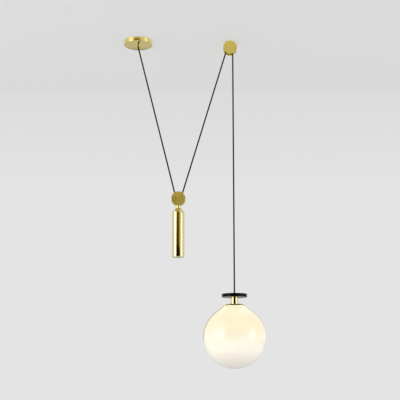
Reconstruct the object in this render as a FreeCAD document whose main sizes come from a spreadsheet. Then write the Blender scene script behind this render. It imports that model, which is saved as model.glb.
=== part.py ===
import FreeCAD, Part
import math
import os
import Sketcher

# Rise and fall pendant: an opal globe lamp hangs on its own flex.  The flex runs from a ceiling
# canopy down under the sheave of a brass counterweight, up over the sheave of a ceiling pulley and
# down again to the lamp.  All lengths are millimetres.  The origin is on the ceiling, at the
# middle of the canopy; Z is up, X runs from the canopy towards the pulley, -Y is the front.

SIZES = {
    # ceiling canopy: spun brass cup over a bent steel bracket
    "canopy_diameter": 120,
    "canopy_height": 18,
    "canopy_wall": 1.2,
    "canopy_corner": 2.5,
    "bracket_thickness": 2.5,
    "bracket_width": 20,
    "bracket_inset": 1.8,
    "ear_depth": 13,
    "slot_spacing": 84,
    "slot_width": 5.5,
    "slot_length": 18,
    "grub_diameter": 4,
    "grub_length": 7,
    "block_length": 12,
    "block_gap": 8,
    "block_pitch": 6.5,
    "block_height": 8,
    "wire_diameter": 1.6,
    # flex and its glands
    "cord_diameter": 6,
    "bore_clearance": 0.1,
    "gland_diameter": 12,
    "gland_thread": 10,
    "gland_flange": 3,
    "gland_lead": 3,
    "nut_width": 14,
    "nut_thickness": 3,
    "clamp_ring_height": 4,
    "lamp_gland_diameter": 18,
    "lamp_gland_height": 3.5,
    # sheave blocks: the same cheeks, axle and screws are used at the ceiling and on the weight
    "cheek_diameter": 58,
    "cheek_thickness": 10,
    "cheek_edge": 1,
    "cheek_gap": 9,
    "ceiling_clearance": 1,
    "axle_diameter": 6,
    "axle_seat": 6,
    "running_clearance": 0.05,
    "bush_wall": 1.5,
    "bush_play": 0.2,
    "sheave_width": 8,
    "sheave_play": 1.2,
    "ceiling_cord_circle": 23,
    "weight_cord_circle": 18,
    "groove_clearance": 0.3,
    "flange_height": 3.5,
    "tongue_width": 20,
    "post_diameter": 7,
    "post_offset": 21,
    "screw_diameter": 3,
    "screw_head": 6,
    "screw_spacing": 14,
    "screw_bite": 6,
    "stud_hole_diameter": 5,
    "stud_hole_depth": 10,
    # places of the three hanging points
    "pulley_distance": 392.3,
    "weight_distance": 175.2,
    "weight_drop": 686,
    # counterweight
    "neck_diameter": 18,
    "neck_length": 9.5,
    "cheek_seat": 0.2,
    "weight_diameter": 50,
    "weight_length": 185,
    "shoulder_height": 18.5,
    "shoulder_diameter": 20.5,
    "weight_wall": 2,
    "shoulder_plate": 3,
    "core_clearance": 0.2,
    "core_top_gap": 1,
    "core_base_gap": 4,
    "core_stud_depth": 25,
    "weight_stud_diameter": 8,
    "stud_grip": 9,
    "base_thickness": 3,
    # lamp: black disc, stem and globe cap
    "disc_drop": 1079,
    "disc_diameter": 102,
    "disc_thickness": 13,
    "disc_edge": 0.8,
    "stem_diameter": 28.5,
    "stem_wall": 1.5,
    "stem_length": 27,
    "stem_recess": 1.5,
    "cap_diameter": 90,
    "cap_height": 8.6,
    "cap_skirt": 0.6,
    "cap_wall": 0.8,
    "cap_land": 32,
    "cap_crown": 71,
    "tube_bore": 7.2,
    # opal globe
    "globe_diameter": 251,
    "globe_wall": 2.5,
    "globe_neck_diameter": 85,
    "globe_neck_height": 0.4,
    "globe_lip": 1.2,
    "shoulder_sink": 0.3,
    "gasket_thickness": 0.6,
    "clamp_length": 100,
    "clamp_width": 16,
    "clamp_thickness": 3,
    "pad_length": 7,
    "pad_width": 14,
    "pad_edge": 2.6,
    # lampholder and bulb
    "holder_diameter": 38,
    "holder_neck": 8,
    "holder_cap_height": 14,
    "holder_body_diameter": 34,
    "holder_body_height": 46,
    "holder_wall": 2,
    "screw_shell_diameter": 27,
    "screw_shell_depth": 26,
    "bulb_base_diameter": 26,
    "bulb_diameter": 60,
    "bulb_neck_diameter": 27,
    "bulb_wall": 1,
}

doc = FreeCAD.newDocument("rise_and_fall_pendant")
sheet = doc.addObject("Spreadsheet::Sheet", "sizes")
for row, (alias, number) in enumerate(SIZES.items(), start=1):
    sheet.set(f"A{row}", alias)
    sheet.set(f"B{row}", str(number))
    sheet.setAlias(f"B{row}", alias)
doc.recompute()


class Length:
    """A length worked out from the sheet: its value now and the expression that keeps it so."""

    def __init__(self, value, text):
        self.value = float(value)
        self.text = text

    def __add__(self, other):
        other = length(other)
        return Length(self.value + other.value, f"({self.text} + {other.text})")

    def __sub__(self, other):
        other = length(other)
        return Length(self.value - other.value, f"({self.text} - {other.text})")

    def __mul__(self, other):
        other = length(other)
        return Length(self.value * other.value, f"({self.text} * {other.text})")

    def __truediv__(self, other):
        other = length(other)
        return Length(self.value / other.value, f"({self.text} / {other.text})")

    def __radd__(self, other):
        return length(other) + self

    def __rsub__(self, other):
        return length(other) - self

    def __rmul__(self, other):
        return length(other) * self

    def __neg__(self):
        return length(0) - self


def length(number):
    return number if isinstance(number, Length) else Length(number, repr(float(number)))


def root(number):
    return Length(math.sqrt(number.value), f"sqrt({number.text})")


def size(alias):
    """A driving dimension, read from its cell."""
    return Length(float(sheet.get(alias)), f"sizes.{alias}")


# Directions in which a piece's own Z axis can point once it is in place.
UP = FreeCAD.Rotation()
BACK = FreeCAD.Rotation(FreeCAD.Vector(1, 0, 0), -90)
FRONT = FreeCAD.Rotation(FreeCAD.Vector(1, 0, 0), 90)
RIGHT = FreeCAD.Rotation(FreeCAD.Vector(0, 1, 0), 90)
LEFT = FreeCAD.Rotation(FreeCAD.Vector(0, 1, 0), -90)

nodes = {}


def bind(thing, path, number):
    thing.setExpression(path, length(number).text)


def place(thing, x=0, y=0, z=0, pointing=UP):
    """Put a piece's own origin at x, y, z, with its Z axis along the given direction."""
    x, y, z = length(x), length(y), length(z)
    thing.Placement = FreeCAD.Placement(FreeCAD.Vector(x.value, y.value, z.value), pointing)
    bind(thing, "Placement.Base.x", x)
    bind(thing, "Placement.Base.y", y)
    bind(thing, "Placement.Base.z", z)
    return thing


def node(label, thing):
    """Name a finished sub-part; the name is that of its file."""
    thing.Label = label
    nodes[label] = thing
    return thing


def draw_outline(sketch, corners):
    """Closed outline.  A corner is (x, y), or (x, y, radius, turn) where an arc leads to the next
    corner: turn is 1 when it runs anticlockwise and -1 when it runs clockwise."""
    points = [FreeCAD.Vector(length(c[0]).value, length(c[1]).value, 0) for c in corners]
    ends = []
    for index, corner in enumerate(corners):
        here = points[index]
        there = points[(index + 1) % len(points)]
        if len(corner) == 2:
            curve = sketch.addGeometry(Part.LineSegment(here, there), False)
            ends.append((curve, 1, 2))
            continue
        radius = length(corner[2])
        turn = corner[3]
        chord = there - here
        sideways = FreeCAD.Vector(-chord.y, chord.x, 0).normalize() * turn
        rise = math.sqrt(max(radius.value ** 2 - (chord.Length / 2) ** 2, 0))
        middle = (here + there) / 2 + sideways * rise
        first, last = (here, there) if turn > 0 else (there, here)
        start = math.atan2(first.y - middle.y, first.x - middle.x)
        stop = math.atan2(last.y - middle.y, last.x - middle.x)
        circle = Part.Circle(middle, FreeCAD.Vector(0, 0, 1), radius.value)
        curve = sketch.addGeometry(Part.ArcOfCircle(circle, start, stop), False)
        ends.append((curve, 1, 2) if turn > 0 else (curve, 2, 1))
        dimension = sketch.addConstraint(Sketcher.Constraint("Radius", curve, radius.value))
        bind(sketch, f"Constraints[{dimension}]", radius)
    for index, corner in enumerate(corners):
        curve, start, _ = ends[index]
        before, _, stop = ends[index - 1]
        sketch.addConstraint(Sketcher.Constraint("Coincident", before, stop, curve, start))
        for kind, axis, number in (("DistanceX", -2, corner[0]), ("DistanceY", -1, corner[1])):
            number = length(number)
            if number.value == 0:
                sketch.addConstraint(Sketcher.Constraint("PointOnObject", curve, start, axis))
                continue
            constraint = Sketcher.Constraint(kind, -1, 1, curve, start, number.value)
            dimension = sketch.addConstraint(constraint)
            bind(sketch, f"Constraints[{dimension}]", number)


def outline_body(label, corners, plane):
    body = doc.addObject("PartDesign::Body", label)
    sketch = body.newObject("Sketcher::SketchObject", label + "_outline")
    origin_plane = next(f for f in body.Origin.OriginFeatures if f.Role == plane)
    sketch.AttachmentSupport = (origin_plane, [""])
    sketch.MapMode = "FlatFace"
    draw_outline(sketch, corners)
    return body, sketch


def turned(label, corners):
    """A piece turned or spun on its own Z axis from half its section: (radius, height) corners."""
    body, sketch = outline_body(label, corners, "XZ_Plane")
    spin = body.newObject("PartDesign::Revolution", label + "_turn")
    spin.Profile = sketch
    spin.ReferenceAxis = (sketch, ["V_Axis"])
    spin.Angle = 360
    return body


def plate(label, corners, thickness, plane="XY_Plane"):
    """A piece cut from plate, or bent from strip: an outline given a thickness, half each way."""
    body, sketch = outline_body(label, corners, plane)
    pad = body.newObject("PartDesign::Pad", label + "_pad")
    pad.Profile = sketch
    pad.Midplane = True
    bind(pad, "Length", thickness)
    return body


def rod(label, diameter, long, x=0, y=0, z=0, pointing=UP):
    cylinder = doc.addObject("Part::Cylinder", label)
    bind(cylinder, "Radius", length(diameter) / 2)
    bind(cylinder, "Height", long)
    return place(cylinder, x, y, z, pointing)


def box(label, wide, deep, high, x=0, y=0, z=0):
    """A block centred on x and y that stands on z."""
    block = doc.addObject("Part::Box", label)
    bind(block, "Length", wide)
    bind(block, "Width", deep)
    bind(block, "Height", high)
    return place(block, x - length(wide) / 2, y - length(deep) / 2, z)


def joined(label, pieces):
    fuse = doc.addObject("Part::MultiFuse", label)
    fuse.Shapes = pieces
    return fuse


def cut(label, base, tools):
    """Base with every tool taken out of it."""
    result = doc.addObject("Part::Cut", label)
    result.Base = base
    result.Tool = tools[0] if len(tools) == 1 else joined(label + "_tools", tools)
    return result


def group(label, pieces):
    """Like pieces that share a node, each its own solid."""
    compound = doc.addObject("Part::Compound", label)
    compound.Links = pieces
    return compound


def ring(label, outside, bore, high, x=0, y=0, z=0, pointing=UP):
    """A plain ring or tube of the given outside and bore diameters."""
    outer = length(outside) / 2
    inner = length(bore) / 2
    return place(turned(label, [(inner, 0), (outer, 0), (outer, high), (inner, high)]), x, y, z, pointing)


def hex_nut(label, across, bore, thickness, x, y, z):
    """A hexagon nut standing on z."""
    prism = doc.addObject("Part::Prism", label + "_blank")
    prism.Polygon = 6
    bind(prism, "Circumradius", length(across) / math.sqrt(3))
    bind(prism, "Height", thickness)
    place(prism, x, y, z)
    return cut(label, prism, [rod(label + "_bore", bore, thickness, x, y, z)])


# Shared radii and clearances
cord_radius = size("cord_diameter") / 2
cord_bore = size("cord_diameter") + 2 * size("bore_clearance")
thread_bore = size("gland_thread") + size("bore_clearance")
ceiling_circle = size("ceiling_cord_circle") / 2
weight_circle = size("weight_cord_circle") / 2
cheek_radius = size("cheek_diameter") / 2


# ---------------------------------------------------------------- ceiling canopy
# The bracket is screwed to the ceiling; the cup slides up over its ears and two grub screws
# through the cup's wall hold it there.
canopy_radius = size("canopy_diameter") / 2
canopy_floor = size("canopy_wall") - size("canopy_height")
ear_face = canopy_radius - size("canopy_wall") - size("bracket_inset")
grub_height = -size("canopy_height") / 2


def ceiling_bracket():
    """A flat strip with both ends turned down, two fixing slots and tapped ears."""
    inside = ear_face - size("bracket_thickness")
    under = -size("bracket_thickness")
    corners = [(ear_face, 0), (-ear_face, 0), (-ear_face, -size("ear_depth")),
               (-inside, -size("ear_depth")), (-inside, under), (inside, under),
               (inside, -size("ear_depth")), (ear_face, -size("ear_depth"))]
    strip = plate("bracket_strip", corners, size("bracket_width"), "XZ_Plane")
    tools = []
    for side in (-1, 1):
        middle = side * size("slot_spacing") / 2
        straight = size("slot_length") - size("slot_width")
        deep = size("bracket_thickness") + 2
        low = under - 1
        tools.append(box("slot_middle", straight, size("slot_width"), deep, middle, 0, low))
        for end in (-1, 1):
            tools.append(rod("slot_end", size("slot_width"), deep, middle + end * straight / 2, 0, low))
        tools.append(rod("ear_tapping", size("grub_diameter") + size("bore_clearance"),
                         size("bracket_thickness") + 2, side * (ear_face + 1), 0, grub_height,
                         LEFT if side > 0 else RIGHT))
    return node("ceiling_bracket", cut("bracket_cut", strip, tools))


def canopy_cup():
    """A spun cup: its rim meets the ceiling, its floor carries the gland of the flex."""
    high = size("canopy_height")
    wall = size("canopy_wall")
    corner = size("canopy_corner")
    hole = thread_bore / 2
    inner = canopy_radius - wall
    corners = [(hole, 0), (canopy_radius - corner, 0, corner, 1), (canopy_radius, corner),
               (canopy_radius, high), (inner, high), (inner, corner, corner - wall, -1),
               (canopy_radius - corner, wall), (hole, wall)]
    shell = place(turned("cup_shell", corners), 0, 0, -high)
    holes = [rod("cup_screw_hole", size("grub_diameter") + size("bore_clearance"), wall + 2,
                 side * (canopy_radius + 1), 0, grub_height, LEFT if side > 0 else RIGHT)
             for side in (-1, 1)]
    return node("canopy_cup", cut("cup_drilled", shell, holes))


def grub_screw(label, long):
    """A headless screw with a socket in its outer end."""
    across = size("grub_diameter") / 2
    socket = size("grub_diameter") / 4
    return turned(label, [(0, 0), (across, 0), (across, long), (socket, long),
                          (socket, long - 2), (0, long - 2)])


def canopy_grub_screws():
    screws = []
    for side in (-1, 1):
        start = side * (canopy_radius - size("grub_length"))
        screw = grub_screw("canopy_grub", size("grub_length"))
        screws.append(place(screw, start, 0, grub_height, RIGHT if side > 0 else LEFT))
    return node("canopy_grub_screws", group("canopy_grubs", screws))


def gland(label, flange, shank, x, z, pointing):
    """A turned bush for the flex: a rounded flange outside and a threaded shank inside."""
    outer = size("gland_diameter") / 2
    thread = size("gland_thread") / 2
    bore = cord_bore / 2
    soft = 1
    corners = [(bore, -length(flange)), (outer - soft, -length(flange), soft, 1), (outer, soft - flange),
               (outer, 0), (thread, 0), (thread, shank), (bore, shank)]
    return place(turned(label, corners), x, 0, z, pointing)


gland_shank = size("canopy_wall") + size("nut_thickness") + 1.5
canopy_gland_face = -size("canopy_height") - size("gland_flange")
clamp_ring_base = -size("canopy_height") + gland_shank
tail_top = clamp_ring_base + size("clamp_ring_height") + 0.5


def canopy_gland():
    node("canopy_gland", gland("canopy_bush", size("gland_flange"), gland_shank, 0,
                               -size("canopy_height"), UP))
    nut = hex_nut("canopy_gland_nut", size("nut_width"), thread_bore, size("nut_thickness"),
                  0, 0, canopy_floor)
    node("canopy_gland_nut", nut)
    node("canopy_cord_clamp", ring("canopy_clamp_ring", size("gland_diameter"), cord_bore,
                                   size("clamp_ring_height"), 0, 0, clamp_ring_base))


block_row = size("block_pitch")
block_start = size("gland_diameter") / 2 + size("block_gap")
tunnel_height = -size("bracket_thickness") - size("block_height") / 2


def terminal_block():
    """Three tunnels for the flex's cores in a moulded block, fixed under the bracket."""
    long = size("block_length")
    high = size("block_height")
    foot = tunnel_height - high / 2
    blank = box("block_blank", long, 3 * block_row - 0.5, high, block_start + long / 2, 0, foot)
    tools = []
    for row in (-1, 0, 1):
        tools.append(rod("block_tunnel", size("wire_diameter") + 1, long + 2, block_start - 1,
                         row * block_row, tunnel_height, RIGHT))
        for across in (0.3, 0.7):
            tools.append(rod("block_screw_well", 3, high / 2, block_start + across * long,
                             row * block_row, foot))
    return node("terminal_block", cut("block_bored", blank, tools))


ceiling_bracket()
canopy_cup()
canopy_grub_screws()
canopy_gland()
terminal_block()


# ---------------------------------------------------------------- sheave blocks
# Two thick brass cheeks on an axle.  A tongue between them carries the block, a post opposite
# keeps them parallel, and three screws from behind pull the stack together, so that the front
# cheek stays plain.
inner_face = size("cheek_gap") / 2
block_front = inner_face + size("cheek_thickness")
groove_radius = cord_radius + size("groove_clearance")
tongue_start = ceiling_circle + size("flange_height") + size("sheave_play")
tongue_screw = (tongue_start + cheek_radius) / 2
bush_radius = size("axle_diameter") / 2 + size("bush_wall")
tapping = size("screw_diameter") - 0.5
clearing = size("screw_diameter") + 0.4


def cheek(label, x, z, way, behind):
    """A thick disc with softened edges, a blind seat for the axle and three screw holes.
    way is 1 when the tongue is above the axle and -1 when it is below."""
    thick = size("cheek_thickness")
    edge = size("cheek_edge")
    corners = [(0, 0), (cheek_radius, 0), (cheek_radius, thick - edge, edge, 1),
               (cheek_radius - edge, thick), (0, thick)]
    outward = BACK if behind else FRONT
    side = 1 if behind else -1
    disc = place(turned(label + "_disc", corners), x, side * inner_face, z, outward)
    tools = [rod(label + "_axle_seat", size("axle_diameter") + size("bore_clearance"),
                 size("axle_seat") + 1, x, side * (inner_face - 1), z, outward)]
    for across, up in ((-0.5 * size("screw_spacing"), way * tongue_screw),
                       (0.5 * size("screw_spacing"), way * tongue_screw),
                       (0, -way * size("post_offset"))):
        if not behind:
            tools.append(rod(label + "_tapping", tapping, size("screw_bite") + 2,
                             x + across, -inner_face + 1, z + up, FRONT))
            continue
        tools.append(rod(label + "_clearing", clearing, thick + 2, x + across, inner_face - 1,
                         z + up, BACK))
        sink = turned(label + "_sink", [(0, 0), (size("screw_head") / 2 + 0.2, 0),
                                        (clearing / 2, 2), (0, 2)])
        tools.append(place(sink, x + across, block_front, z + up, FRONT))
    return node(label, cut(label + "_bored", disc, tools))


def block_screws(label, x, z, way):
    """Three countersunk screws, driven from behind into the front cheek."""
    head = size("screw_head") / 2
    shank = size("screw_diameter") / 2
    thread = tapping / 2
    grip = size("cheek_gap") + size("cheek_thickness")
    corners = [(0, 1), (1, 1), (1, 0), (head, 0), (shank, 1.8), (shank, grip), (thread, grip),
               (thread, grip + size("screw_bite")), (0, grip + size("screw_bite"))]
    screws = []
    for across, up in ((-0.5 * size("screw_spacing"), way * tongue_screw),
                       (0.5 * size("screw_spacing"), way * tongue_screw),
                       (0, -way * size("post_offset"))):
        screws.append(place(turned(label + "_screw", corners), x + across, block_front, z + up, FRONT))
    return node(label, group(label + "_set", screws))


def sheave(label, x, z, circle):
    """A turned wheel whose round groove is a little wider than the flex, on a bronze bush.
    circle is the radius at which the flex's middle lies."""
    wide = size("sheave_width")
    bore = bush_radius
    dip = 0.8
    foot = circle - dip
    rim = circle + size("flange_height")
    half = root(groove_radius * groove_radius - length(dip) * length(dip))
    lip = half + 0.4
    corners = [(bore, 0), (rim, 0), (rim, wide / 2 - lip),
               (foot, wide / 2 - half, groove_radius, -1), (foot, wide / 2 + half),
               (rim, wide / 2 + lip), (rim, wide), (bore, wide)]
    node(label + "_sheave", place(turned(label + "_wheel", corners), x, -wide / 2, z, BACK))
    bush_long = size("cheek_gap") - 2 * size("bush_play")
    bush_bore = size("axle_diameter") + 2 * size("running_clearance")
    node(label + "_bush", ring(label + "_bush_ring", 2 * bush_radius, bush_bore, bush_long,
                               x, -bush_long / 2, z, BACK))


def sheave_block(label, x, z, way, circle):
    """All the pieces of one block but its tongue."""
    cheek(label + "_front_cheek", x, z, way, False)
    cheek(label + "_rear_cheek", x, z, way, True)
    axle_long = size("cheek_gap") + 2 * size("axle_seat")
    node(label + "_axle", rod(label + "_axle_pin", size("axle_diameter"), axle_long, x,
                              -axle_long / 2, z, BACK))
    node(label + "_spacer_post", ring(label + "_post_ring", size("post_diameter"), clearing,
                                      size("cheek_gap"), x, -inner_face,
                                      z - way * size("post_offset"), BACK))
    block_screws(label + "_block_screws", x, z, way)
    sheave(label, x, z, circle)


def tongue_holes(label, x, z, way):
    return [rod(label + "_screw_way", clearing, size("cheek_gap") + 2,
                x + side * size("screw_spacing") / 2, -inner_face - 1, z + way * tongue_screw, BACK)
            for side in (-1, 1)]


pulley_x = size("pulley_distance")
pulley_z = -(cheek_radius + size("ceiling_clearance"))
sheave_block("ceiling", pulley_x, pulley_z, 1, ceiling_circle)


def ceiling_hanger():
    """The tongue of the ceiling block: it stands just proud of the cheeks, bears on the ceiling and
    is tapped for the stud that hangs there."""
    low = pulley_z + tongue_start
    blank = box("hanger_blank", size("tongue_width"), size("cheek_gap"), -low, pulley_x, 0, low)
    stud = rod("hanger_tapping", size("stud_hole_diameter"), size("stud_hole_depth") + 1,
               pulley_x, 0, -size("stud_hole_depth"))
    return node("ceiling_hanger", cut("hanger_tapped", blank,
                                      [stud] + tongue_holes("hanger", pulley_x, pulley_z, 1)))


ceiling_hanger()

# ---------------------------------------------------------------- counterweight
# Under its sheave block: a round neck, then a polished brass shell with a conical shoulder that
# hides a steel core.  A stud ties neck, shell and core together.
weight_x = size("weight_distance")
weight_z = -size("weight_drop")
neck_top = weight_z - cheek_radius - size("cheek_seat")
neck_foot = weight_z - cheek_radius - size("neck_length")
shell_foot = neck_foot - size("shoulder_height") - size("weight_length")
weight_radius = size("weight_diameter") / 2
shell_bore = weight_radius - size("weight_wall")
core_top = neck_foot - size("shoulder_height") - size("core_top_gap")
core_foot = shell_foot + size("base_thickness") + size("core_base_gap")
stud_hole = size("weight_stud_diameter") + size("bore_clearance")
sheave_block("weight", weight_x, weight_z, -1, weight_circle)


def weight_yoke():
    """A tongue between the cheeks and a round neck below them, turned from one bar."""
    tongue_top = weight_z - tongue_start
    tongue = box("yoke_tongue", size("tongue_width"), size("cheek_gap"), tongue_top - neck_top,
                 weight_x, 0, neck_top)
    trimmed = doc.addObject("Part::Common", "yoke_tongue_round")
    trimmed.Base = tongue
    trimmed.Tool = rod("yoke_outline", 2 * cheek_radius + 2 * size("cheek_seat"), size("cheek_gap"), weight_x,
                       -inner_face, weight_z, BACK)
    neck = rod("yoke_neck", size("neck_diameter"), neck_top - neck_foot, weight_x, 0, neck_foot)
    stud = rod("yoke_stud_hole", stud_hole, size("stud_grip") + 0.5, weight_x, 0, neck_foot)
    link = box("yoke_link", size("neck_diameter") / 2, size("cheek_gap"), 2, weight_x, 0, neck_top - 1)
    whole = joined("yoke_whole", [trimmed, neck, link])
    return node("weight_yoke", cut("yoke_bored", whole,
                                   [stud] + tongue_holes("yoke", weight_x, weight_z, -1)))


def weight_shell():
    """Cylinder and conical shoulder of one wall, open below, with a thick plate at the stud."""
    tall = size("weight_length")
    top = tall + size("shoulder_height")
    cone = size("shoulder_diameter") / 2
    inner_cone = cone - size("weight_wall")
    corners = [(shell_bore, 0), (weight_radius, 0), (weight_radius, tall), (cone, top),
               (stud_hole / 2, top), (stud_hole / 2, top - size("shoulder_plate")),
               (inner_cone, top - size("shoulder_plate")), (shell_bore, tall - 0.5)]
    return node("weight_shell", place(turned("shell_spun", corners), weight_x, 0, shell_foot))


def weight_inside():
    """Steel core, the stud that it hangs on, and the disc that closes the shell from below."""
    long = core_top - core_foot
    core_radius = shell_bore - size("core_clearance")
    bevel = 2
    deep = size("core_stud_depth")
    corners = [(0, 0), (core_radius, 0), (core_radius, long - bevel), (core_radius - bevel, long),
               (stud_hole / 2, long), (stud_hole / 2, long - deep), (0, long - deep)]
    node("weight_core", place(turned("core_turned", corners), weight_x, 0, core_foot))
    stud_top = neck_foot + size("stud_grip")
    stud_foot = core_top - deep + 1
    node("weight_stud", rod("weight_stud_rod", size("weight_stud_diameter"), stud_top - stud_foot,
                            weight_x, 0, stud_foot))
    base = [(0, 0), (shell_bore - 0.05, 0), (shell_bore - 0.05, size("base_thickness")),
            (0, size("base_thickness"))]
    node("weight_base", place(turned("base_disc", base), weight_x, 0, shell_foot))


weight_yoke()
weight_shell()
weight_inside()

# ---------------------------------------------------------------- lamp
# A threaded tube is the lamp's backbone: gland and nut clamp the black disc on it, and the nut
# under the clamp bar pulls the globe, its cap and the stem up against the disc.
lamp_x = pulley_x + ceiling_circle
disc_top = -size("disc_drop")
disc_foot = disc_top - size("disc_thickness")
cap_top = disc_foot - size("stem_length")
cap_foot = cap_top - size("cap_height")
lamp_gland_face = disc_top + size("lamp_gland_height")
stem_radius = size("stem_diameter") / 2
globe_radius = size("globe_diameter") / 2
neck_radius = size("globe_neck_diameter") / 2
shoulder_lift = globe_radius - size("shoulder_sink")
neck_top_height = shoulder_lift + size("globe_neck_height")
globe_centre = cap_foot + size("globe_lip") - neck_top_height


def black_disc():
    """Gloss black disc, bored for the tube and recessed below for the stem."""
    radius = size("disc_diameter") / 2
    thick = size("disc_thickness")
    edge = size("disc_edge")
    hole = thread_bore / 2
    seat = stem_radius + size("bore_clearance")
    corners = [(hole, size("stem_recess")), (seat, size("stem_recess")), (seat, 0),
               (radius - edge, 0, edge, 1), (radius, edge), (radius, thick - edge, edge, 1),
               (radius - edge, thick), (hole, thick)]
    return node("black_disc", place(turned("disc_turned", corners), lamp_x, 0, disc_foot))


def lamp_stem():
    long = size("stem_length") + size("stem_recess")
    return node("lamp_stem", ring("stem_ring", size("stem_diameter"),
                                  size("stem_diameter") - 2 * size("stem_wall"), long,
                                  lamp_x, 0, cap_top))


def globe_cap():
    """Shallow spun dome with a short skirt round the globe's neck and a flat land for the stem."""
    radius = size("cap_diameter") / 2
    wall = size("cap_wall")
    high = size("cap_height")
    land = size("cap_land") / 2
    skirt = size("cap_skirt")
    soft = 1.5
    crown = size("cap_crown")
    hole = thread_bore / 2
    lean = math.radians(25)
    rim = radius - soft * (1 - math.sin(lean))
    rim_up = skirt + soft * math.cos(lean)
    corners = [(radius - wall, 0), (radius, 0), (radius, skirt, soft, 1), (rim, rim_up, crown, 1),
               (land, high), (hole, high), (hole, high - wall),
               (land, high - wall, crown - wall, -1),
               (rim - wall * math.sin(lean), rim_up - wall * math.cos(lean)), (radius - wall, skirt)]
    return node("globe_cap", place(turned("cap_spun", corners), lamp_x, 0, cap_foot))


def globe_outline():
    """Where the straight shoulder of the globe leaves its sphere, seen from the globe's centre."""
    span = neck_radius * neck_radius + shoulder_lift * shoulder_lift
    square = globe_radius * globe_radius
    run = root(span - square)
    across = (square * neck_radius + globe_radius * run * shoulder_lift) / span
    up = (square * shoulder_lift - globe_radius * run * neck_radius) / span
    return across, up


touch_across, touch_up = globe_outline()
inner_radius = globe_radius - size("globe_wall")
inner_across = touch_across * inner_radius / globe_radius
inner_up = touch_up * inner_radius / globe_radius
inner_neck = neck_radius - size("globe_wall")
slope = touch_across / touch_up
inner_shoulder = inner_up + (inner_across - inner_neck) * slope


def glass_globe():
    """Blown sphere whose shoulder runs straight up to a short neck inside the cap."""
    centre = globe_radius
    corners = [(0, 0, globe_radius, 1), (touch_across, centre + touch_up),
               (neck_radius, centre + shoulder_lift), (neck_radius, centre + neck_top_height),
               (inner_neck, centre + neck_top_height), (inner_neck, centre + inner_shoulder),
               (inner_across, centre + inner_up, inner_radius, -1), (0, size("globe_wall"))]
    return node("glass_globe", place(turned("globe_blown", corners), lamp_x, 0,
                                     globe_centre - globe_radius))


pad_corner = root(size("clamp_length") * size("clamp_length") / 4
                  + size("pad_width") * size("pad_width") / 4)
pad_depth = size("pad_edge") + (pad_corner - inner_neck) * slope
clamp_top = globe_centre + inner_shoulder - pad_depth
clamp_foot = clamp_top - size("clamp_thickness")
clamp_nut_foot = clamp_foot - size("nut_thickness")
holder_top = clamp_nut_foot - 1
pad_room_foot = inner_up - 10
tube_foot = holder_top - size("holder_neck")


def globe_clamp():
    """A bar that was passed through the globe's neck and lies across it under the shoulder, with
    a silicone pad at each end and a nut that draws it up."""
    half = size("clamp_length") / 2
    wide = size("clamp_width") / 2
    corners = [(-half, -wide), (half, -wide), (half, wide), (-half, wide)]
    bar = place(plate("clamp_strip", corners, size("clamp_thickness")), lamp_x, 0,
                clamp_top - size("clamp_thickness") / 2)
    hole = rod("clamp_hole", thread_bore, size("clamp_thickness") + 2, lamp_x, 0, clamp_foot - 1)
    node("clamp_bar", cut("clamp_drilled", bar, [hole]))
    node("clamp_nut", hex_nut("clamp_hex", size("nut_width"), thread_bore, size("nut_thickness"),
                              lamp_x, 0, clamp_nut_foot))
    pads = []
    shy = 0.1
    for side in (-1, 1):
        middle = lamp_x + side * (half - size("pad_length") / 2)
        blank = box("pad_blank", size("pad_length"), size("pad_width"), pad_depth,
                    middle, 0, clamp_top)
        room_top = inner_shoulder - pad_room_foot - shy
        room = [(0, 0), (inner_across, 0), (inner_across, inner_up - pad_room_foot - shy),
                (inner_neck, room_top), (0, room_top)]
        wedge = doc.addObject("Part::Common", "pad_wedge")
        wedge.Base = blank
        wedge.Tool = place(turned("pad_room", room), lamp_x, 0, globe_centre + pad_room_foot)
        pads.append(wedge)
    node("clamp_pads", group("clamp_pad_pair", pads))


def lamp_tube():
    """Threaded tube with the flex in its bore, the gland on top and the nut under the disc."""
    tube_top = lamp_gland_face - 1.2
    node("lamp_tube", ring("lamp_tube_ring", size("gland_thread"), size("tube_bore"),
                           tube_top - tube_foot, lamp_x, 0, tube_foot))
    outer = size("lamp_gland_diameter") / 2
    high = size("lamp_gland_height")
    bore = cord_bore / 2
    thread = thread_bore / 2
    soft = 1
    corners = [(thread, 0), (outer, 0), (outer, high - soft, soft, 1), (outer - soft, high),
               (bore, high), (bore, high - 1), (thread, high - 1)]
    node("lamp_gland", place(turned("lamp_gland_turned", corners), lamp_x, 0, disc_top))
    node("disc_nut", hex_nut("disc_hex", size("nut_width"), thread_bore, size("nut_thickness"),
                             lamp_x, 0, disc_foot + size("stem_recess") - size("nut_thickness")))


def globe_gasket():
    return node("globe_gasket", ring("gasket_ring", 2 * neck_radius, 2 * inner_neck,
                                     size("gasket_thickness"), lamp_x, 0,
                                     globe_centre + neck_top_height))


holder_shoulder = holder_top - size("holder_neck")
holder_cap_foot = holder_shoulder - size("holder_cap_height")
holder_body_top = holder_shoulder - size("holder_wall")
holder_body_foot = holder_body_top - size("holder_body_height")
shell_outer = size("screw_shell_diameter") / 2
contact_top = holder_body_foot + size("screw_shell_depth") + 8


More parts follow.
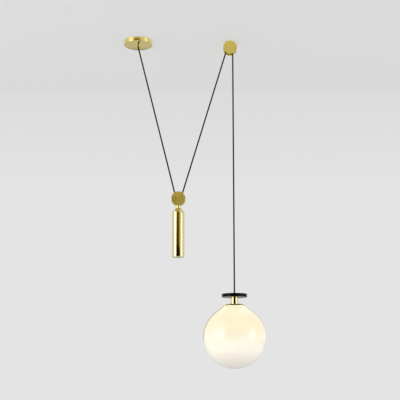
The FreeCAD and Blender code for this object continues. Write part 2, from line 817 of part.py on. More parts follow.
def lampholder():
    """Holder cap on the tube's end, a porcelain body in it, its screw shell and centre contact."""
    outer = size("holder_diameter") / 2
    wall = size("holder_wall")
    neck = thread_bore / 2 + 2.5
    cap_high = size("holder_cap_height")
    whole = cap_high + size("holder_neck")
    bore = thread_bore / 2
    soft = 4
    corners = [(outer - wall, 0), (outer, 0), (outer, cap_high - soft, soft, 1), (outer - soft, cap_high),
               (neck, cap_high), (neck, whole), (bore, whole), (bore, cap_high - wall),
               (outer - wall, cap_high - wall)]
    node("holder_cap", place(turned("holder_cap_turned", corners), lamp_x, 0, holder_cap_foot))
    body = size("holder_body_diameter") / 2
    high = size("holder_body_height")
    cavity = shell_outer + 0.2
    floor = size("screw_shell_depth") + 8
    corners = [(cavity, 0), (body, 0), (body, high), (cord_bore / 2, high), (cord_bore / 2, high - 4),
               (3, high - 4), (3, floor), (cavity, floor)]
    node("holder_body", place(turned("holder_body_fired", corners), lamp_x, 0, holder_body_foot))
    thin = 0.5
    deep = size("screw_shell_depth")
    corners = [(shell_outer - thin, 6), (shell_outer, 6), (shell_outer, deep + 8),
               (6, deep + 8), (6, deep + 8 - thin), (shell_outer - thin, deep + 8 - thin)]
    node("holder_shell", place(turned("holder_shell_drawn", corners), lamp_x, 0, holder_body_foot))
    node("holder_contact", rod("holder_contact_pin", 5, 6, lamp_x, 0, contact_top - 5))


def bulb():
    """Thin metal screw base and a thin frosted envelope cemented into it."""
    wall = size("bulb_wall")
    base_radius = size("bulb_base_diameter") / 2
    base_high = size("screw_shell_depth") - 1
    tip = 4
    corners = [(base_radius - wall, 0), (base_radius, 0), (base_radius, base_high - tip),
               (tip + 1, base_high), (0, base_high), (0, base_high - wall), (tip, base_high - wall),
               (base_radius - wall, base_high - tip - wall)]
    base_foot = contact_top - 5 - base_high
    node("bulb_base", place(turned("bulb_base_rolled", corners), lamp_x, 0, base_foot))
    outer = size("bulb_diameter") / 2
    inner = outer - wall
    neck = size("bulb_neck_diameter") / 2
    flare = neck + 4
    waist = root(outer * outer - flare * flare)
    inner_waist = root(inner * inner - (flare - wall) * (flare - wall))
    reach = base_foot - globe_centre
    seat = base_radius - wall
    corners = [(0, -outer, outer, 1), (flare, waist), (neck, waist + 16), (neck, reach), (seat, reach),
               (seat, reach + 5), (seat - wall, reach + 5), (seat - wall, waist + 16),
               (flare - wall, inner_waist, inner, -1), (0, -inner)]
    node("bulb_glass", place(turned("bulb_blown", corners), lamp_x, 0, globe_centre))


black_disc()
lamp_stem()
globe_cap()
glass_globe()
globe_clamp()
lamp_tube()
globe_gasket()
lampholder()
bulb()
doc.recompute()


# ---------------------------------------------------------------- flex
# One flex in one vertical plane: out of the canopy's gland, under the weight's sheave, over the
# ceiling sheave and down into the lamp's gland.  Its straight runs touch both cord circles.
def in_plane(x, z):
    return FreeCAD.Vector(x, 0, z)


def touching_normal(start, centre, reach, right):
    """Unit normal of the line through start that passes centre at the distance reach, on the
    side that right says."""
    away = centre - start
    share = reach / away.Length
    along = away / away.Length
    across = FreeCAD.Vector(-along.z, 0, along.x)
    normals = [along * share + across * side * math.sqrt(1 - share * share) for side in (-1, 1)]
    return max(normals, key=lambda n: n.x if right else -n.x)


def tube(route, radius=cord_radius.value, name="flex"):
    """Round tube along straight runs joined by arcs that touch them; prints the arcs' radii."""
    edges = []
    here = route[0]
    for before, corner, after in zip(route, route[1:], route[2:]):
        come = (corner - before).normalize()
        leave = (after - corner).normalize()
        half_turn = come.getAngle(leave) / 2
        setback = 0.45 * min((corner - before).Length, (after - corner).Length)
        print(f"{name} bend radius {setback / math.tan(half_turn):.1f}")
        start = corner - come * setback
        stop = corner + leave * setback
        inward = (leave - come).normalize()
        middle = corner + inward * setback * (1 / math.cos(half_turn) - 1) / math.tan(half_turn)
        edges.append(Part.LineSegment(here, start).toShape())
        edges.append(Part.Arc(start, middle, stop).toShape())
        here = stop
    edges.append(Part.LineSegment(here, route[-1]).toShape())
    path = Part.Wire(edges)
    section = Part.Circle(route[0], route[1] - route[0], radius).toShape()
    solid = path.makePipeShell([Part.Wire([section])], True, False)
    fill = solid.Volume / (math.pi * radius ** 2 * path.Length)
    print(f"{name} run {path.Length:.1f} long, volume over section times length {fill:.4f}")
    return solid


def wrap(centre, circle, first, last):
    """The flex round a sheave, turned about its axle from the normal first to the normal last;
    it runs anticlockwise seen from the front."""
    start = centre + first * circle
    along = FreeCAD.Vector(0, 1, 0).cross(first)
    section = Part.Circle(start, along, cord_radius.value).toShape()
    begin = math.atan2(first.z, first.x)
    turn = (math.atan2(last.z, last.x) - begin) % (2 * math.pi)
    print(f"flex wrap radius {circle:.1f}, {math.degrees(turn):.0f} degrees")
    disc = Part.Face(Part.Wire([section]))
    return disc.revolve(centre, FreeCAD.Vector(0, -1, 0), math.degrees(turn))


def add_shape(label, shape):
    feature = doc.addObject("Part::Feature", label)
    feature.Shape = shape
    return node(label, feature)


weight_centre = in_plane(weight_x.value, weight_z.value)
pulley_centre = in_plane(pulley_x.value, pulley_z.value)
gland_mouth = in_plane(0, canopy_gland_face.value)
gland_turn = in_plane(0, canopy_gland_face.value - size("gland_lead").value)
low_circle = weight_circle.value
high_circle = ceiling_circle.value
left_normal = touching_normal(gland_turn, weight_centre, low_circle, True) * -1
right_normal = touching_normal(weight_centre, pulley_centre, low_circle + high_circle, True)
down_normal = FreeCAD.Vector(1, 0, 0)

add_shape("cord_left_leg", tube([gland_mouth, gland_turn, weight_centre + left_normal * low_circle]))
add_shape("weight_cord_wrap", wrap(weight_centre, low_circle, left_normal, right_normal))
add_shape("cord_right_leg", tube([weight_centre + right_normal * low_circle,
                                  pulley_centre - right_normal * high_circle]))
add_shape("ceiling_cord_wrap", wrap(pulley_centre, high_circle, down_normal, right_normal * -1))
add_shape("cord_drop", tube([pulley_centre + down_normal * high_circle,
                             in_plane(lamp_x.value, lamp_gland_face.value)]))
add_shape("canopy_cord_tail", tube([gland_mouth, in_plane(0, tail_top.value)]))
add_shape("lamp_cord_tail", tube([in_plane(lamp_x.value, lamp_gland_face.value),
                                  in_plane(lamp_x.value, holder_body_top.value)]))


def canopy_wires():
    """The flex's three cores, from the end of its jacket into the terminal block."""
    wire = size("wire_diameter").value
    wires = []
    for row in (-1, 0, 1):
        aside = row * block_row.value
        route = [FreeCAD.Vector(0.5 * wire, row * 1.15 * wire, tail_top.value),
                 FreeCAD.Vector(0.5 * wire, row * 1.15 * wire, tunnel_height.value + wire),
                 FreeCAD.Vector(block_start.value - 4, aside, tunnel_height.value),
                 FreeCAD.Vector(block_start.value + 5, aside, tunnel_height.value)]
        wires.append(tube(route, wire / 2, "wire"))
    return add_shape("canopy_wires", Part.makeCompound(wires))


canopy_wires()

# ---------------------------------------------------------------- checks and files
doc.recompute()
for thing in doc.Objects:
    if "Invalid" in thing.State or "Error" in thing.State:
        raise RuntimeError(f"{thing.Label} failed: {thing.State}")
for label, thing in nodes.items():
    if thing.Shape.isNull() or not thing.Shape.isValid() or not thing.Shape.Solids:
        raise RuntimeError(f"{label} has no valid solid")

os.makedirs("parts", exist_ok=True)
for label, thing in nodes.items():
    thing.Shape.exportStep(f"parts/{label}.step")
print(len(nodes), "nodes written")
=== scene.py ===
import math
import bmesh
import bpy
import numpy as np
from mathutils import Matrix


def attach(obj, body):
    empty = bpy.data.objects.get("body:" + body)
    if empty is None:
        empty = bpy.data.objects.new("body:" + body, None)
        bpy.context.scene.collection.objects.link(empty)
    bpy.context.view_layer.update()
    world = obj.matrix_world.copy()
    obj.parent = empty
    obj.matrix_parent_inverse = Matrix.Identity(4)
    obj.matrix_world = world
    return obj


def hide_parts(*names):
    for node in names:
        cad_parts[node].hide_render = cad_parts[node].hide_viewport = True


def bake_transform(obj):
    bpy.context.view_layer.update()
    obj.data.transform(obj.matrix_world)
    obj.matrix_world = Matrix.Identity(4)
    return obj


# A rise and fall pendant.  A lit opal globe under a black disc hangs on one braided flex, which
# comes out of a brass ceiling canopy, turns under the sheave of a brass counterweight and goes
# over a second sheave at the ceiling.  Metres; the ceiling is z = 0 and the front faces -Y.

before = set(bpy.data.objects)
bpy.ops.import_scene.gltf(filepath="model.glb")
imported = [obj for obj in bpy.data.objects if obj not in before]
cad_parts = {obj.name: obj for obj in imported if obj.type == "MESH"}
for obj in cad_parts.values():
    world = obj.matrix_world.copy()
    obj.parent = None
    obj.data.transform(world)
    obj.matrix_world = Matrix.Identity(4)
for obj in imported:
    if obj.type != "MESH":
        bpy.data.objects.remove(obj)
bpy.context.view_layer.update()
mm = 0.001

# ---------------------------------------------------------------- camera
# It stands across a studio, a little below the globe, and looks up with a long lens, as the
# photograph was taken.
looking_up = 11.2
camera = bpy.data.objects.new("camera", bpy.data.cameras.new("camera"))
bpy.context.scene.collection.objects.link(camera)
camera.location = (0.2644, -3.748, -1.433)
camera.rotation_euler = (math.radians(90 + looking_up), 0, 0)
camera.data.lens = 83.25
camera.data.sensor_width = 36
bpy.context.scene.camera = camera

# ---------------------------------------------------------------- the flex
# Round three-core flex, 6 mm, in a braided oxblood textile sleeve.  It is clamped in the canopy
# and in the lamp; between them it is drawn straight by the lamp's and the weight's pull.
flex_radius = 3.0 * mm
# The middles of the two sheaves, and the circles in mm on which the flex runs round them.
pulley_centre = np.array([0.3923, 0, -0.030])
weight_centre = np.array([0.1752, 0, -0.686])
ceiling_circle = 11.5
weight_circle = 9.0
lamp_x = 0.4038


def linear(code):
    """sRGB hex to linear RGBA: c / 12.92 for dark values, ((c + 0.055) / 1.055) ^ 2.4 above."""
    srgb = np.array([int(code[i:i + 2], 16) for i in (1, 3, 5)]) / 255
    rgb = np.where(srgb <= 0.04045, srgb / 12.92, ((srgb + 0.055) / 1.055) ** 2.4)
    return (*rgb.tolist(), 1.0)


def add(tree, kind, inputs=(), stops=(), **settings):
    """Add a shader node: settings are its properties, inputs hold values or sockets to link, and
    stops are the positions and hex colours of a colour ramp."""
    made = tree.nodes.new("ShaderNode" + kind)
    for key, value in settings.items():
        setattr(made, key, value)
    for key, value in dict(inputs).items():
        if isinstance(value, bpy.types.NodeSocket):
            tree.links.new(value, made.inputs[key])
        else:
            made.inputs[key].default_value = value
    if stops:
        held = made.color_ramp.elements
        while len(held) < len(stops):
            held.new(0.5)
        for element, (position, code) in zip(held, stops):
            element.position = position
            element.color = linear(code)
    return made


def new_material(name):
    made = bpy.data.materials.new(name)
    made.use_nodes = True
    made.node_tree.nodes.clear()
    return made, made.node_tree


def braided_textile():
    """Rayon sleeve braided over the cores: ten strands each way cross at 45 degrees, one over,
    one under, so the eye sees small raised lozenges.  Their colour carries painted shade: darker
    at the strands' edges and where they dive, lighter on their crowns."""
    made, tree = new_material("braided textile")
    strands = 10
    fibre_grain = 2.5 * mm
    uv = add(tree, "SeparateXYZ", {0: add(tree, "TexCoord").outputs["UV"]})
    along = add(tree, "Math", {0: uv.outputs["Y"], 1: strands / (2 * math.pi * flex_radius)},
                operation="MULTIPLY").outputs[0]
    around = add(tree, "Math", {0: uv.outputs["X"], 1: strands}, operation="MULTIPLY").outputs[0]
    ridges, cells = [], []
    for way in ("ADD", "SUBTRACT"):
        phase = add(tree, "Math", {0: around, 1: along}, operation=way).outputs[0]
        share = add(tree, "Math", {0: phase}, operation="FRACT").outputs[0]
        turn = add(tree, "Math", {0: share, 1: math.pi}, operation="MULTIPLY").outputs[0]
        ridges.append(add(tree, "Math", {0: turn}, operation="SINE").outputs[0])
        cells.append(add(tree, "Math", {0: phase}, operation="FLOOR").outputs[0])
    both = add(tree, "Math", {0: cells[0], 1: cells[1]}, operation="ADD").outputs[0]
    over = add(tree, "Math", {0: both, 1: 2}, operation="FLOORED_MODULO").outputs[0]
    height = add(tree, "Mix", {"Factor": over, 2: ridges[0], 3: ridges[1]}, data_type="FLOAT")
    fibres = add(tree, "TexNoise", {"Vector": add(tree, "TexCoord").outputs["Object"],
                                    "Scale": 1 / fibre_grain, "Detail": 2.0}).outputs["Fac"]
    # Painted shade: the colour follows the bump's height, dark where strands dive, times the
    # fibres' cloud.
    shade = add(tree, "Math", {0: height.outputs[0], 1: fibres}, operation="MULTIPLY").outputs[0]
    colour = add(tree, "ValToRGB", {"Fac": shade},
                 [(0.0, "#1C0305"), (0.35, "#3A060C"), (0.8, "#540B14")]).outputs["Color"]
    bump = add(tree, "Bump", {"Height": height.outputs[0], "Strength": 0.6, "Distance": 0.3 * mm})
    shader = add(tree, "BsdfPrincipled", {"Base Color": colour, "Roughness": 0.65,
                                          "Specular IOR Level": 0.1,
                                          "Normal": bump.outputs[0]})
    add(tree, "OutputMaterial", {"Surface": shader.outputs[0]})
    return made


def smooth_piece(name, mesh):
    """An object for a mesh, shaded smooth but for its edges of over 32 degrees."""
    mesh.shade_smooth()
    mesh.set_sharp_from_angle(angle=math.radians(32))
    piece = bpy.data.objects.new(name, mesh)
    bpy.context.scene.collection.objects.link(piece)
    return piece


def grid_mesh(name, points, uv, close_across):
    """Quads between neighbouring points of a grid (lines, points on a line, xyz).  Each line's end
    joins its start; with close_across the last line joins the first too.  Points that fall
    together, at a pole, are merged, and the faces are turned outwards."""
    lines, count = points.shape[:2]
    index = np.arange(lines * count).reshape(lines, count)
    index = np.hstack([index, index[:, :1]])
    if close_across:
        index = np.vstack([index, index[:1]])

    def corners(grid):
        return np.stack([grid[:-1, :-1], grid[:-1, 1:], grid[1:, 1:], grid[1:, :-1]], axis=2)

    mesh = bpy.data.meshes.new(name)
    quads = corners(index).reshape(-1, 4)
    mesh.from_pydata(points.reshape(-1, 3), [], quads)
    layer = mesh.uv_layers.new(name="UVMap")
    layer.data.foreach_set("uv", corners(uv).reshape(-1).astype(np.float32))
    work = bmesh.new()
    work.from_mesh(mesh)
    bmesh.ops.remove_doubles(work, verts=work.verts, dist=1e-7)
    bmesh.ops.recalc_face_normals(work, faces=work.faces)
    work.to_mesh(mesh)
    work.free()
    return smooth_piece(name, mesh)


def flex_tube(name, line):
    """Tube round a line in the plane y = 0: line + radius (cos a normal + sin a Y), where the
    normal is square to the line in that plane; both ends close in a point.  Its UV map holds the
    share of the way round and the length along it in metres."""
    steps = np.linalg.norm(np.diff(line, axis=0), axis=1)
    length = np.concatenate([[0], np.cumsum(steps)])
    ahead = np.gradient(line, length, axis=0)
    ahead /= np.linalg.norm(ahead, axis=1)[:, None]
    normal = np.stack([-ahead[:, 2], 0 * length, ahead[:, 0]], axis=1)
    sides = 20
    angle = np.linspace(0, 2 * math.pi, sides, endpoint=False)
    rings = (normal[:, None] * np.cos(angle)[None, :, None]
             + np.array([0, 1, 0]) * np.sin(angle)[None, :, None])
    points = line[:, None] + flex_radius * rings
    ends = np.repeat(line[[0, -1]][:, None], sides, axis=1)
    points = np.concatenate([ends[:1], points, ends[1:]])
    length = np.concatenate([length[:1], length, length[-1:]])
    share = np.linspace(0, 1, sides + 1)
    uv = np.stack(np.broadcast_arrays(share[None, :], length[:, None]), axis=2)
    return grid_mesh(name, points, uv, False)


def taut_line(name, points):
    """The smooth line that has the route's points as its control points."""
    curve = bpy.data.curves.new(name, "CURVE")
    curve.dimensions = "3D"
    curve.resolution_u = 24
    spline = curve.splines.new("NURBS")
    spline.points.add(len(points) - 1)
    spline.points.foreach_set("co", np.hstack([points, np.ones((len(points), 1))]).ravel())
    spline.order_u = 3
    spline.use_endpoint_u = True
    holder = bpy.data.objects.new(name, curve)
    bpy.context.scene.collection.objects.link(holder)
    bpy.context.view_layer.update()
    drawn = bpy.data.meshes.new_from_object(holder)
    line = np.empty(3 * len(drawn.vertices))
    drawn.vertices.foreach_get("co", line)
    bpy.data.objects.remove(holder)
    bpy.data.curves.remove(curve)
    bpy.data.meshes.remove(drawn)
    return line.reshape(-1, 3)


flex_finish = braided_textile()


def finish_piece(piece, finish, slot, *nodes):
    """Give a piece its material, and let it stand for its CAD nodes, which are hidden.
    The slot is not used.
    """
    piece.data.materials.append(finish)
    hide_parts(*nodes)
    return piece


def flex_leg(node, route):
    """One taut stretch from the ceiling to a body that travels, drawn as a tube round the smooth
    line through the route."""
    route = np.array(route)
    line = taut_line(node + "_line", route)
    leg = finish_piece(flex_tube("flex_" + node, line), flex_finish, "flex", node)
    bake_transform(leg)
    spots = np.empty(3 * len(leg.data.vertices))
    leg.data.vertices.foreach_get("co", spots)


# Out of the canopy's gland, straight down for a moment, then along to the weight's sheave.
flex_leg("cord_left_leg", [(0, 0, -0.021), (0, 0, -0.024), (0.00292, 0, -0.03564),
                           (0.15845, 0, -0.65618), (0.16647, 0, -0.68819)])
# Up from the weight's sheave to the ceiling sheave, and down from that to the lamp.
flex_leg("cord_right_leg", [(0.18382, 0, -0.68857), (0.19326, 0, -0.65695),
                            (0.37185, 0, -0.05834), (0.38128, 0, -0.02671)])
flex_leg("cord_drop", [(lamp_x, 0, -0.030), (lamp_x, 0, -0.063), (lamp_x, 0, -1.0425),
                       (lamp_x, 0, -1.0755)])


def flex_wrap(node, centre, circle, first, last, body):
    """The flex in a sheave's groove: centre + R (cos t, 0, sin t) for t from first to last, in
    degrees, where R is the circle's radius in mm."""
    t = np.radians(np.linspace(first, last, 40))
    line = centre + circle * mm * np.stack([np.cos(t), 0 * t, np.sin(t)], axis=1)
    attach(finish_piece(flex_tube("flex_" + node, line), flex_finish, "flex", node), body)


flex_wrap("weight_cord_wrap", weight_centre, weight_circle, -165.929, -16.612, "counterweight")
flex_wrap("ceiling_cord_wrap", pulley_centre, ceiling_circle, 0, 163.388, "ceiling_mount")

# The clamped ends, inside the canopy and inside the lamp's tube.
for node, x, low, high, body in (("canopy_cord_tail", 0, -0.021, -0.0078, "ceiling_mount"),
                                 ("lamp_cord_tail", lamp_x, -1.1556, -1.0755, "lamp")):
    upright = np.array([[x, 0, low], [x, 0, 0.5 * (low + high)], [x, 0, high]])
    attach(finish_piece(flex_tube("flex_" + node, upright), flex_finish, "flex", node), body)

# ---------------------------------------------------------------- ceiling canopy
# A shallow cup spun from brass sheet over a chuck, brushed while it turned and lacquered, with a
# turned gland in its floor.  Behind it: a zinc plated strip, a terminal block and the cores.


def rounded(corners):
    """Closed outline through (radius, height) corners in mm.  A corner with a third number is
    rounded by an arc of that radius that touches both of its sides."""
    outline = []
    for index, corner in enumerate(corners):
        here = np.array(corner[:2], float)
        if len(corner) == 2:
            outline.append(here[None])
            continue
        back = np.array(corners[index - 1][:2], float) - here
        ahead = np.array(corners[(index + 1) % len(corners)][:2], float) - here
        back /= np.linalg.norm(back)
        ahead /= np.linalg.norm(ahead)
        half = 0.5 * math.acos(np.clip(back @ ahead, -1, 1))
        middle = here + (back + ahead) / np.linalg.norm(back + ahead) * corner[2] / math.sin(half)
        start = here + back * corner[2] / math.tan(half) - middle
        stop = here + ahead * corner[2] / math.tan(half) - middle
        turn = math.pi - 2 * half
        t = np.linspace(0, 1, 7)[:, None]
        outline.append(middle + (start * np.sin((1 - t) * turn) + stop * np.sin(t * turn))
                       / math.sin(turn))
    return np.vstack(outline)


def turned(name, outline, centre=(0, 0, 0), axle=False, around=128):
    """Surface of revolution: centre + radius (cos a, sin a) square to the axis + height along it.
    The axis is Z, or with axle it points to the front.  The outline is in mm.  Its UV map holds
    the share of the way round and the length along the outline in metres."""
    radius, height = outline.T * mm
    angle = np.linspace(0, 2 * math.pi, around, endpoint=False)[:, None]
    across, beside = radius * np.cos(angle), radius * np.sin(angle)
    height = np.broadcast_to(height, across.shape)
    parts = (across, -height, beside) if axle else (across, beside, height)
    closed = np.vstack([outline, outline[:1]]) * mm
    length = np.concatenate([[0], np.cumsum(np.linalg.norm(np.diff(closed, axis=0), axis=1))])
    share = np.linspace(0, 1, around + 1)
    uv = np.stack(np.broadcast_arrays(share[:, None], length[None, :]), axis=2)
    return grid_mesh(name, np.stack(parts, axis=2) + np.array(centre), uv, True)


def brass(name, base, tint, rough, lines):
    """Lacquered brass, finished on the lathe.  The brushing runs round the piece; its lines are
    drawn a little wider than real ones (0.1 mm) so that they still show.  They break the gloss up
    along the piece, and small differences in colour keep it from looking like plastic."""
    made, tree = new_material(name)
    line_width = 0.25 * mm
    cloud_width = 14 * mm
    uv = add(tree, "TexCoord").outputs["UV"]
    fine = add(tree, "Mapping", {0: uv, "Scale": (3.0, 1 / line_width, 1.0)}).outputs[0]
    scratch = add(tree, "TexNoise", {"Vector": fine, "Scale": 1.0, "Detail": 3.0,
                                     "Roughness": 0.65}).outputs["Fac"]
    cloud = add(tree, "TexNoise", {"Vector": add(tree, "TexCoord").outputs["Object"],
                                   "Scale": 1 / cloud_width, "Detail": 2.0}).outputs["Fac"]
    mixed = add(tree, "Math", {0: scratch, 1: 0.6, 2: cloud}, operation="MULTIPLY_ADD").outputs[0]
    colour = add(tree, "ValToRGB", {"Fac": mixed},
                 [(0.35, tint), (0.75, base), (1.0, base)]).outputs["Color"]
    gloss = add(tree, "MapRange",
                {"Value": scratch, "To Min": rough - 0.05, "To Max": rough + 0.07})
    bump = add(tree, "Bump", {"Height": scratch, "Strength": lines, "Distance": 0.02 * mm})
    shader = add(tree, "BsdfPrincipled", {
        "Base Color": colour, "Metallic": 1.0, "Roughness": gloss.outputs[0],
        "Anisotropic": 0.4, "Tangent": add(tree, "Tangent", direction_type="UV_MAP").outputs[0],
        "Coat Weight": 0.15, "Coat Roughness": 0.1, "Normal": bump.outputs[0]})
    add(tree, "OutputMaterial", {"Surface": shader.outputs[0]})
    return made


satin_brass = brass("satin brass", "#EED86E", "#E4CC60", 0.45, 0.3)
spun_brass = brass("spun brass", "#F2E08C", "#E9D67C", 0.11, 0.2)


def brass_piece(name, outline, body, *nodes, finish=None, slot="satin_brass", **place):
    piece = turned(name, outline, **place)
    finish_piece(piece, finish or satin_brass, slot, *nodes)
    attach(piece, body)


canopy_radius, canopy_depth, canopy_wall = 60, 18, 1.2
# A gland or tube 10 mm thick goes through this hole; the flex goes through the bore.
hole, flex_bore = 5.05, 3.1
gland_foot, gland_top = -21, -12.3
brass_piece("spun_canopy",
            rounded([(hole, -canopy_depth), (canopy_radius, -canopy_depth, 2.5),
                     (canopy_radius, 0, 0.4), (canopy_radius - canopy_wall, 0, 0.4),
                     (canopy_radius - canopy_wall, canopy_wall - canopy_depth, 1.3),
                     (hole, canopy_wall - canopy_depth)]),
            "ceiling_mount", "canopy_cup", finish=spun_brass, around=160)
brass_piece("turned_canopy_gland",
            rounded([(flex_bore, gland_foot, 0.4), (6, gland_foot, 1), (6, -canopy_depth),
                     (5, -canopy_depth), (5, gland_top, 0.3), (flex_bore, gland_top)]),
            "ceiling_mount", "canopy_gland", around=64)


def smooth_copy(name, node, centre):
    """A CAD node whose shape is right, with its triangles merged so that its rounds shade
    smoothly.  Its UV map is that of a piece turned on the axis through centre that points to the
    front: share of the way round it, and distance from it plus distance along it."""
    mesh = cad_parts[node].data.copy()
    mesh.name = name
    work = bmesh.new()
    work.from_mesh(mesh)
    bmesh.ops.remove_doubles(work, verts=work.verts, dist=2e-6)
    work.to_mesh(mesh)
    work.free()
    mesh.materials.clear()
    spots = np.empty(3 * len(mesh.vertices))
    mesh.vertices.foreach_get("co", spots)
    used = np.empty(len(mesh.loops), int)
    mesh.loops.foreach_get("vertex_index", used)
    x, y, z = (spots.reshape(-1, 3)[used] - centre).T
    turn = np.arctan2(z, x).reshape(-1, 3) / (2 * math.pi)
    turn -= np.round(turn - turn[:, :1])
    uv = np.stack([turn.ravel(), np.hypot(x, z) + y], axis=1)
    while mesh.uv_layers:
        mesh.uv_layers.remove(mesh.uv_layers[0])
    mesh.uv_layers.new(name="UVMap").data.foreach_set("uv", uv.ravel().astype(np.float32))
    return smooth_piece(name, mesh)


def plain_finish(name, code, shade, metallic, rough, grain, depth, **more):
    """A moulded, fired, plated or blown surface: two close shades in soft clouds as wide as grain,
    and a bump of the same grain that is depth high, both in mm."""
    made, tree = new_material(name)
    spot = add(tree, "TexCoord").outputs["Object"]
    cloud = add(tree, "TexNoise", {"Vector": spot, "Scale": 1 / (grain * mm), "Detail": 3.0})
    colour = add(tree, "ValToRGB", {"Fac": cloud.outputs["Fac"]},
                 [(0.3, shade), (0.7, code)]).outputs["Color"]
    bump = add(tree, "Bump", {"Height": cloud.outputs["Fac"], "Strength": 0.4,
                              "Distance": depth * mm})
    settings = {"Base Color": colour, "Metallic": metallic, "Roughness": rough,
                "Normal": bump.outputs[0]}
    settings.update({key.replace("_", " "): value for key, value in more.items()})
    add(tree, "OutputMaterial",
        {"Surface": add(tree, "BsdfPrincipled", settings).outputs[0]})
    return made


zinc_plated_steel = plain_finish("zinc plated steel", "#C6C8CC", "#A9ABB0", 1.0, 0.33, 1.5, 0.02)
moulded_white = plain_finish("moulded polyamide", "#ECEBE6", "#E2E1DB", 0.0, 0.42, 0.8, 0.02)
core_insulation = plain_finish("core insulation", "#7A5230", "#6C4526", 0.0, 0.38, 3, 0.01)


def dress_nodes(finish, *nodes):
    """Give CAD nodes that stay a material, in their objects' own material slots."""
    for node in nodes:
        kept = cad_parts[node]
        for held in kept.material_slots:
            held.material = finish


dress_nodes(zinc_plated_steel, "ceiling_bracket", "canopy_grub_screws", "canopy_gland_nut",
            "canopy_cord_clamp")
dress_nodes(moulded_white, "terminal_block")
dress_nodes(core_insulation, "canopy_wires")

# ---------------------------------------------------------------- sheave blocks
# Two thick brass cheeks with softened edges, faced on the lathe, hold a grooved sheave on a steel
# axle and a bronze bush.  Three countersunk screws come in from behind.  The same block hangs at
# the ceiling and, with a polished yoke for its tongue, on the counterweight.
polished_brass = brass("polished brass", "#E9DFA0", "#E2D590", 0.08, 0.09)
sintered_bronze = plain_finish("sintered bronze", "#A9784A", "#8C5F38", 1.0, 0.4, 0.6, 0.02)
# The block's sizes in mm.  Depths count from the middle of the flex towards the front.
cheek_radius, cheek_inside, cheek_outside = 29, 4.5, 14.5
axle_bore, axle_end = 3.05, 10.5
cheek_outline = rounded([(0, axle_end), (axle_bore, axle_end), (axle_bore, cheek_inside),
                         (cheek_radius, cheek_inside, 0.3), (cheek_radius, cheek_outside, 1),
                         (0, cheek_outside)])
groove_radius, groove_turn, rim_opening = 3.3, 75.97, 3.602
rim_above_flex, bush_radius, half_sheave = 3.5, 4.5, 4


def sheave_outline(circle):
    """Half outline of a sheave: a groove at circle - g cos t, g sin t, where g is its radius, with
    straight flanks from the groove to the two rims."""
    t = np.radians(np.linspace(-groove_turn, groove_turn, 25))
    groove = np.stack([circle - groove_radius * np.cos(t), groove_radius * np.sin(t)], axis=1)
    rim = circle + rim_above_flex
    return np.vstack([[(bush_radius, -half_sheave), (rim, -half_sheave), (rim, -rim_opening)],
                      groove,
                      [(rim, rim_opening), (rim, half_sheave), (bush_radius, half_sheave)]])


def sheave_block(label, centre, circle, body, wheel, tongue, tongue_finish, tongue_slot):
    brass_piece(label + "_cheek_faced", cheek_outline, body, label + "_front_cheek",
                centre=centre, axle=True)
    brass_piece(label + "_sheave_turned", sheave_outline(circle), wheel, label + "_sheave",
                centre=centre, axle=True, around=96)
    for node, name, finish, slot in (
            (label + "_rear_cheek", "_cheek_drilled", satin_brass, "satin_brass"),
            (label + "_spacer_post", "_post", satin_brass, "satin_brass"),
            (tongue, "_tongue", tongue_finish, tongue_slot)):
        piece = smooth_copy(label + name, node, centre)
        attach(finish_piece(piece, finish, slot, node), body)
    dress_nodes(zinc_plated_steel, label + "_axle", label + "_block_screws")
    dress_nodes(sintered_bronze, label + "_bush")


sheave_block("ceiling", pulley_centre, ceiling_circle, "ceiling_mount", "ceiling_wheel",
             "ceiling_hanger", satin_brass, "satin_brass")
sheave_block("weight", weight_centre, weight_circle, "counterweight", "weight_wheel",
             "weight_yoke", polished_brass, "polished_brass")

# ---------------------------------------------------------------- counterweight
# A brass shell spun with a conical shoulder, polished and lacquered, filled with a steel core and
# closed by a pressed-in disc.  Its mirror finish shows the room as upright bands.
weight_axis = (weight_centre[0], 0, 0)
shell_radius, shell_bore, stud_bore = 25, 23, 4.05
shell_foot, shell_shoulder, shell_top = -928, -743, -724.5
base_radius, base_top = 22.95, -925
brass_piece("weight_shell_spun",
            rounded([(shell_bore, shell_foot), (shell_radius, shell_foot, 0.5),
                     (shell_radius, shell_shoulder, 1.5), (10.25, shell_top, 0.4),
                     (stud_bore, shell_top), (stud_bore, shell_top - 3), (8.25, shell_top - 3),
                     (shell_bore, shell_shoulder - 0.5)]),
            "counterweight", "weight_shell", finish=polished_brass, slot="polished_brass",
            centre=weight_axis)
brass_piece("weight_base_turned",
            rounded([(0, shell_foot), (base_radius, shell_foot, 0.3), (base_radius, base_top),
                     (0, base_top)]),
            "counterweight", "weight_base", finish=polished_brass, slot="polished_brass",
            centre=weight_axis)
dress_nodes(zinc_plated_steel, "weight_core", "weight_stud")

# ---------------------------------------------------------------- lamp fitting
# Turned aluminium disc in gloss black lacquer, a polished brass stem under it and a shallow spun
# dome that sits on the globe's neck; a threaded tube behind them all holds the stack together.
lamp_axis = (lamp_x, 0, 0)
black_lacquer = plain_finish("gloss black lacquer", "#050506", "#020203", 0.0, 0.1, 9, 0.01,
                             Specular_IOR_Level=0.08)
disc_radius, disc_top, disc_foot = 51, -1079, -1092
